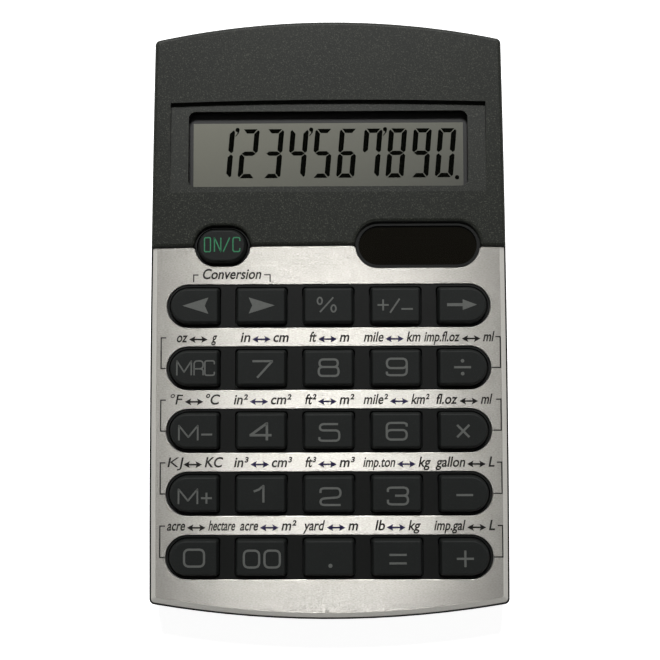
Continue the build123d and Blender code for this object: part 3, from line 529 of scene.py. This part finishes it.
# each mark on a key: a letter or shape, its middle from the print's middle, its outer size, and its stroke
# where that isn't the usual one. A key that has no marks here carries its own digit.
legendLook = {
    "depth": 0.03, "sunk": 0.02, "shift": 0.03, "drawIn": 0.006, "stroke": 0.42, "digit": (4.3, 3.65),
    "nudges": {
        "key_7": (0.15, -0.3), "key_9": (0.2, 0.1), "key_4": (0, -0.1), "key_5": (0.1, -0.35),
        "key_6": (0.1, -0.15), "key_1": (-0.25, 0), "key_2": (0.3, -0.5), "key_3": (0.25, -0.4),
        "key_00": (0, -0.2), "key_point": (0.25, 0.2), "key_subtract": (0.15, -0.25),
        "key_equals": (0.2, -0.25), "key_add": (0.15, -0.2), "key_memory_recall": (-0.15, 0),
        "key_memory_minus": (-0.15, -0.2), "key_memory_plus": (-0.15, -0.25), "key_sign": (0, -0.15),
        "key_delete": (0.1, 0),
    },
    "marks": {
        "key_1": [("1", -0.3, 0, 2.3, 3.65)],
        "key_4": [("4", -0.1, -0.1, 4.6, 3.8, 0.48)],
        "key_00": [("0", -1.9, 0, 3.4, 3.65), ("0", 2.1, 0, 3.4, 3.65)],
        "key_point": [("dot", 0, -1.7, 0.8, 0.8)],
        "key_equals": [("-", 0, -0.81, 3.75, 0.42), ("-", 0, 0.81, 3.75, 0.42)],
        "key_add": [("-", 0, 0, 3.7, 0.42), ("|", 0, 0, 0.42, 3.6)],
        "key_subtract": [("-", 0, 0, 3.65, 0.42)],
        "key_multiply": [("/", 0, -0.15, 2.8, 2.8), ("\\", 0, -0.15, 2.78, 2.78)],
        "key_divide": [("-", 0, 0, 3.7, 0.42), ("dot", 0, 1.25, 0.7, 0.7), ("dot", 0, -1.25, 0.7, 0.7)],
        "key_memory_recall": [("M", -2.0, 0, 3.1, 3.1, 0.28), ("R", 0.85, 0, 2.05, 3.1, 0.28),
                              ("C", 3.0, 0, 2.15, 3.1, 0.28)],
        "key_memory_minus": [("M", -1.1, -0.2, 4.0, 3.2, 0.33), ("-", 2.5, -0.5, 2.5, 0.37, 0.37)],
        "key_memory_plus": [("M", -1.1, -0.2, 4.0, 3.2, 0.33), ("-", 2.5, -0.5, 2.5, 0.37, 0.37),
                            ("|", 2.5, -0.5, 0.37, 2.5, 0.37)],
        "key_percent": [("/", -0.35, 0.1, 2.9, 3.17, 0.3), ("ring", 1.0, -0.65, 1.22, 1.634, 0.3),
                        ("ring", -1.7, 0.85, 1.22, 1.634, 0.3)],
        "key_sign": [("-", -2.4, 0.15, 2.5, 0.33, 0.33), ("|", -2.4, 0.15, 0.33, 2.5, 0.33),
                     ("/", -0.1, 0, 2.2, 3.1, 0.33), ("-", 2.3, -0.65, 2.57, 0.33, 0.33)],
        "key_delete": [("-", -1.4, 0, 3.8, 0.6, 0.6), ("head", 0, 0)],
        "key_convert_left": [("pointLeft", 0, 0)],
        "key_convert_right": [("pointRight", 0, 0)],
        "key_on_clear": [("O", -2.95, 0.2, 1.42, 3.03, 0.24), ("N", -0.95, 0.2, 1.5, 3.03, 0.24),
                         ("/", 0.8, 0.2, 1.5, 3.03, 0.24), ("C", 2.75, 0.2, 1.6, 3.03, 0.24)],
    },
    "outlines": {
        "head": [(2.85, 0), (0.05, 1.05), (0.05, -1.05)],
        "pointLeft": [(-2.55, 0), (2.55, -1.6), (1.85, 0), (2.55, 1.6)],
        "pointRight": [(2.55, 0), (-2.55, 1.6), (-1.85, 0), (-2.55, -1.6)],
    },
    "raised": ("|", "\\", "ring", "head"),
}


def addMark(mesh, x, y, low, high, sign, px, py, width=0, height=0, stroke=legendLook["stroke"]):
    # one mark of a key's print, x and y being the middle of the print
    x, y = x + px, y + py
    if sign in legendLook["raised"]:
        high += printWork["crossing"]
    if sign == "dot":
        addPlate(mesh, roundDot(x, y, width / 2, height / width), low, high)
    elif sign == "ring":
        radius = (width - stroke) / 2
        path = roundDot(x, y, radius, (height - stroke) / 2 / radius)
        addRibbon(mesh, path, stroke, low, high, closed=True)
    elif sign in legendLook["outlines"]:
        addPlate(mesh, moved(legendLook["outlines"][sign], x, y), low, high)
    else:
        addLetter(mesh, sign, x, y, width, height, stroke, low, high)


for name in sorted(nodes):
    if not name.startswith("key_"):
        continue
    lowCorner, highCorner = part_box(name)
    middle = (lowCorner + highCorner) * 500
    nudge = legendLook["nudges"].get(name, (0, 0))
    printX = middle.x * (1 - legendLook["drawIn"]) + legendLook["shift"] + nudge[0]
    printY = middle.y + nudge[1]
    top = highCorner.z * 1000
    low, high = top - legendLook["sunk"], top + legendLook["depth"]
    mesh = bmesh.new()
    for mark in legendLook["marks"].get(name, [(name[-1], 0, 0, *legendLook["digit"])]):
        addMark(mesh, printX, printY, low, high, *mark)
    ink = inks["on" if name == "key_on_clear" else "legend"]
    finished(mesh, "legend_" + name.removeprefix("key_"), name + "_cap", ink)
print("key legends printed")

# display digits, in the gap between the film and the window. The comma's x is from its digit's middle, and the
# comma and the point end with their radius.
displayLook = {
    "reading": "1234567890", "lastX": 23.57, "pitch": 4.944, "middleY": 32.9, "width": 3.63, "height": 9.96,
    "across": 1.02, "bar": 0.86, "slant": 0.084, "gap": 0.12, "tips": (0.45, 0.42), "corner": (0.3, 0.2, 0.5),
    "waist": (0.4, 0.25, 0.35), "commasAfter": (0, 3, 6), "comma": (2.7, 37.75, 0.42),
    "tail": [(0, -0.3), (-0.05, -0.75), (-0.4, -1.2), (-0.45, -1.4), (-0.15, -1.15), (0.3, -0.6), (0.42, 0)],
    "point": (25.8, 27.89, 0.43), "sunk": 0.01, "thickness": 0.03,
}
segmentsOf = {"0": "abcdef", "1": "bc", "2": "abged", "3": "abgcd", "4": "fgbc", "5": "afgcd",
              "6": "afgecd", "7": "fabc", "8": "abcdefg", "9": "abcdfg"}


def mirrored(outline, signX, signY):
    # turned over about one axis, and still anticlockwise
    return [(px * signX, py * signY) for px, py in outline[::-1]]


def segmentShapes(look):
    # outlines of the seven segments of one digit about its middle, upright
    half, tall = look["width"] / 2, look["height"] / 2
    bar, gap = look["bar"], look["gap"]
    inner = half - look["across"]
    topTip, middleTip = (half - tip for tip in look["tips"])
    cornerIn, cornerDown, cornerEnd = look["corner"]
    waistIn, waistInner, waistOuter = look["waist"]
    top = [(-topTip, tall), (gap - inner, tall - bar), (inner - gap, tall - bar), (topTip, tall)]
    centre = [(-middleTip, 0), (-inner, -bar / 2), (inner, -bar / 2), (middleTip, 0), (inner, bar / 2),
              (-inner, bar / 2)]
    rightTop = [(half - cornerIn, tall - cornerDown), (inner, tall - bar - gap), (inner, bar / 2 + waistInner),
                (half - waistIn, gap), (half, gap + waistOuter), (half, tall - cornerEnd)]
    leftTop = mirrored(rightTop, -1, 1)
    return {"a": top, "b": rightTop, "c": mirrored(rightTop, 1, -1), "d": mirrored(top, 1, -1),
            "e": mirrored(leftTop, 1, -1), "f": leftTop, "g": centre}


def addComma(mesh, look, digitX, low, high):
    # the thousands mark: a round head with a tail that curls down to the left
    x, y, radius = look["comma"]
    x += digitX
    addPlate(mesh, roundDot(x, y, radius), low, high)
    addPlate(mesh, moved(look["tail"], x, y), low, high + printWork["crossing"])


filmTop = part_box("display_polarizer")[1].z * 1000
low, high = filmTop - displayLook["sunk"], filmTop + displayLook["thickness"]
shapes = segmentShapes(displayLook)
mesh = bmesh.new()
for order, digit in enumerate(displayLook["reading"]):
    digitX = displayLook["lastX"] - displayLook["pitch"] * (len(displayLook["reading"]) - 1 - order)
    for letter in segmentsOf[digit]:
        leaning = [(px + py * displayLook["slant"], py) for px, py in shapes[letter]]
        addPlate(mesh, moved(leaning, digitX, displayLook["middleY"]), low, high)
    if order in displayLook["commasAfter"]:
        addComma(mesh, displayLook, digitX, low, high)
addPlate(mesh, roundDot(*displayLook["point"]), low, high)
finished(mesh, "display_digits", "body", inks["digit"])
print("display digits set")

# unit labels, arrows and thin brackets on the faceplate. A row is listed under one of the keys that it stands
# over: the word on the left, the word on the right, and the middle of the arrow between them.
labelLook = {
    "capHeight": 1.9, "slant": 0.2, "gaps": (0.3, 0.5), "weight": 0.019, "rise": 5.2, "sunk": 0.01,
    "depth": 0.02,
    "weights": {"KJ": 0.0, "°F": 0.004},  # lighter strokes, because these words are drawn wide
    "shifts": {"KJ": 0.4, "g": 0.2, "oz": 0.1},
    "widths": {
        "oz": 2.21, "g": 1.2, "in": 1.98, "cm": 3.04, "ft": 1.44, "m": 1.95, "mile": 3.93, "km": 2.76,
        "imp.fl.oz": 7.08, "ml": 2.3, "°F": 2.49, "°C": 2.78, "in²": 2.81, "cm²": 4.06, "ft²": 2.24,
        "m²": 2.95, "mile²": 4.84, "km²": 3.62, "fl.oz": 4.23, "KJ": 3.2, "KC": 3.67, "in³": 2.9, "cm³": 4.02,
        "ft³": 2.17, "m³": 3.08, "imp.ton": 6.31, "kg": 2.45, "gallon": 5.8, "L": 1.2, "acre": 3.57,
        "hectare": 5.29, "yard": 4.33, "lb": 1.97, "imp.gal": 6.13, "Conversion": 11.6,
    },
    "rows": {
        "key_memory_recall": [("oz", "g", -25.67), ("in", "cm", -13.22), ("ft", "m", -0.18),
                              ("mile", "km", 13.01), ("imp.fl.oz", "ml", 28.03)],
        "key_memory_minus": [("°F", "°C", -26.44), ("in²", "cm²", -13.7), ("ft²", "m²", -0.25),
                             ("mile²", "km²", 13.8), ("fl.oz", "ml", 27.46)],
        "key_memory_plus": [("KJ", "KC", -26.66), ("in³", "cm³", -13.52), ("ft³", "m³", -0.3),
                            ("imp.ton", "kg", 15.15), ("gallon", "L", 28.8)],
        "key_0": [("acre", "hectare", -25.9), ("acre", "m²", -11.64), ("yard", "m", 1.38), ("lb", "kg", 13.08),
                  ("imp.gal", "L", 28.74)],
    },
}
arrowLook = {"length": 3.7, "head": (1.3, 0.68), "inHead": 0.2, "notch": 0.25, "shaft": 0.32, "rise": 0.5}
# a bracket's ends: its side, how far out its upright is and the length of its upper arm
bracketLook = {"line": 0.23, "rise": 6.05, "keyEnd": 32.0, "ends": ((-1, 33.0, 1.0), (1, 33.75, 0.95))}
conversionLook = {
    "place": (-24.84, 7.36), "capHeight": 1.95,
    "brackets": ([(-26.65, 6.72), (-26.65, 8.15), (-25.7, 8.15)],
                 [(-11.52, 6.72), (-11.52, 8.15), (-12.69, 8.15)]),
}


def wordMesh(word, weight):
    # the word in the plain built-in letters, one unit high and one unit deep
    curve = bpy.data.curves.new("word", "FONT")
    curve.body = word
    curve.extrude = 0.5
    curve.offset = weight
    curve.resolution_u = 4
    holder = bpy.data.objects.new("word", curve)
    bpy.context.scene.collection.objects.link(holder)
    shape = bpy.data.meshes.new_from_object(holder)
    bpy.data.objects.remove(holder)
    return shape


capitalHeight = max(spot.co.y for spot in wordMesh("H", 0).vertices)


def addWord(mesh, word, x, y, side, low, high, capHeight):
    # a leaning word of its listed width; x is its left end where side is 1, and its right end where side is -1
    shape = wordMesh(word, labelLook["weights"].get(word, labelLook["weight"]))
    tall = capHeight / capitalHeight
    spots = [(spot.co.x, spot.co.y * tall, low + (spot.co.z + 0.5) * (high - low)) for spot in shape.vertices]

    def leaning(stretch):
        return [px * stretch + py * labelLook["slant"] for px, py, pz in spots]

    # the width grows almost evenly with the stretch, so two tries give the right one
    spans = [max(leaning(stretch)) - min(leaning(stretch)) for stretch in (1, 2)]
    xs = leaning(1 + (labelLook["widths"][word] - spans[0]) / (spans[1] - spans[0]))
    x += labelLook["shifts"].get(word, 0)
    shift = x - min(xs) if side > 0 else x - max(xs)
    corners = [mesh.verts.new(((px + shift) / 1000, (y + py) / 1000, pz / 1000))
               for px, (_, py, pz) in zip(xs, spots)]
    for face in shape.polygons:
        mesh.faces.new([corners[corner] for corner in face.vertices])


def addDoubleArrow(mesh, x, y, low, high):
    head, half = arrowLook["head"]
    reach = arrowLook["length"] / 2
    shaft = reach - head * (1 - arrowLook["inHead"])
    addRibbon(mesh, [(x - shaft, y), (x + shaft, y)], arrowLook["shaft"], low, high)
    for side in (-1, 1):
        tip, back = x + side * reach, x + side * (reach - head)
        outline = [(tip, y), (back, y + half), (back + side * arrowLook["notch"], y), (back, y - half)]
        addPlate(mesh, outline[::side], low, high + printWork["crossing"])


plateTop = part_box("faceplate")[1].z * 1000
low, high = plateTop - labelLook["sunk"], plateTop + labelLook["depth"]
words, arrows, darkArrows = bmesh.new(), bmesh.new(), bmesh.new()
arrowEnd = arrowLook["length"] / 2
leftGap, rightGap = labelLook["gaps"]
for key, row in labelLook["rows"].items():
    lowCorner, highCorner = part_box(key)
    rowY = (lowCorner.y + highCorner.y) * 500
    baseline = rowY + labelLook["rise"]
    for order, (left, right, middle) in enumerate(row):
        inked = darkArrows if order in (0, len(row) - 1) else arrows  # the outer columns' arrows are black
        addDoubleArrow(inked, middle, baseline + arrowLook["rise"], low, high)
        addWord(words, left, middle - arrowEnd - leftGap, baseline, -1, low, high, labelLook["capHeight"])
        addWord(words, right, middle + arrowEnd + rightGap, baseline, 1, low, high, labelLook["capHeight"])
    # brackets that tie a row's labels to its keys
    bracketY = rowY + bracketLook["rise"]
    for side, reach, arm in bracketLook["ends"]:
        path = [(side * (reach - arm), bracketY), (side * reach, bracketY), (side * reach, rowY),
                (side * bracketLook["keyEnd"], rowY)]
        addRibbon(words, path, bracketLook["line"], low, high)
addWord(words, "Conversion", *conversionLook["place"], 1, low, high, conversionLook["capHeight"])
for path in conversionLook["brackets"]:
    addRibbon(words, path, bracketLook["line"], low, high)
finished(words, "unit_labels", "body", inks["label"])
finished(arrows, "unit_arrows", "body", inks["arrow"])
finished(darkArrows, "unit_arrows_dark", "body", inks["label"])
print("labels and arrows printed")

scene = bpy.context.scene
scene.view_settings.view_transform = "Standard"
stageLook = {"flat": 1.2, "flatSteps": 4, "curve": 0.8, "curveSteps": 12, "height": 2.2, "sides": 72,
             "dark": (226, 226, 226), "light": (232, 232, 232), "grain": 3, "glow": 0.94}


def paper(name, look):
    # matt paper that looks white to the camera and in reflections, and lights the object no more for it
    finish = Finish(name)
    matt = finish.node("BsdfDiffuse", None, {"Color": finish.tint(finish.noise(look["grain"]), look)})
    glow = finish.node("Emission", None, {"Strength": look["glow"]})
    lit = finish.node("AddShader", None, {0: matt, 1: glow})
    kinds = ("Is Camera Ray", "Is Glossy Ray", "Is Transmission Ray")
    rays = [finish.node("LightPath", output=kind) for kind in kinds]
    finish.show(finish.node("MixShader", None, {0: rays[0] + rays[1] + rays[2], 1: matt, 2: lit}))
    return finish.material


def makeStage(look):
    # a wide floor that turns up into a backdrop all round
    profile = [(look["flat"] * step / look["flatSteps"], 0) for step in range(1, look["flatSteps"] + 1)]
    for step in range(1, look["curveSteps"] + 1):
        turn = math.radians(90 * step / look["curveSteps"])
        profile.append((look["flat"] + look["curve"] * math.sin(turn), look["curve"] * (1 - math.cos(turn))))
    profile.append((look["flat"] + look["curve"], look["height"]))
    sides = look["sides"]
    turns = [math.tau * side / sides for side in range(sides)]
    mesh = bmesh.new()
    centre = mesh.verts.new((0, 0, 0))
    rings = [[mesh.verts.new((radius * math.cos(turn), radius * math.sin(turn), height)) for turn in turns]
             for radius, height in profile]
    for side in range(sides):
        other = (side + 1) % sides
        mesh.faces.new((centre, rings[0][side], rings[0][other]))
        for inner, outer in zip(rings, rings[1:]):
            mesh.faces.new((inner[side], outer[side], outer[other], inner[other]))
    data = bpy.data.meshes.new("studioFloor")
    mesh.to_mesh(data)
    mesh.free()
    for face in data.polygons:
        face.use_smooth = True
    data.materials.append(paper("studioPaper", look))
    floor = bpy.data.objects.new("studioFloor", data)
    scene.collection.objects.link(floor)


makeStage(stageLook)

airLevel = 0.045
world = bpy.data.worlds.new("studioAir")
world.use_nodes = True
world.node_tree.nodes["Background"].inputs["Color"].default_value = (airLevel, airLevel, airLevel, 1)
scene.world = world

lampLooks = {
    "keyLamp": {"place": (-0.02, 0.72, 0.92), "size": (0.27, 0.19), "spread": 50, "power": 1.1},
    "skyPanel": {"place": (0, 0.4, 1.0), "size": (0.9, 0.6), "spread": 180, "power": 0.1},
}


def addLamp(name, look):
    lamp = bpy.data.lights.new(name, "AREA")
    lamp.shape = "RECTANGLE"
    lamp.size, lamp.size_y = look["size"]
    lamp.energy = look["power"]
    lamp.spread = math.radians(look["spread"])
    holder = bpy.data.objects.new(name, lamp)
    holder.location = look["place"]
    aim = -Vector(look["place"])  # both look at the calculator's middle
    holder.rotation_euler = aim.to_track_quat("-Z", "Y").to_euler()
    scene.collection.objects.link(holder)


for name, look in lampLooks.items():
    addLamp(name, look)

# nearly straight above, and close, as the photograph's perspective shows
cameraLook = {"lens": 69.41, "place": (0.00361, -0.02171, 0.26), "turn": (0.0752252, 0.0134439, -0.00273074)}
lens = bpy.data.cameras.new("photoCamera")
lens.lens = cameraLook["lens"]
camera = bpy.data.objects.new("photoCamera", lens)
camera.location = cameraLook["place"]
camera.rotation_euler = cameraLook["turn"]
scene.collection.objects.link(camera)
scene.camera = camera
print("stage, lamps and camera ready")
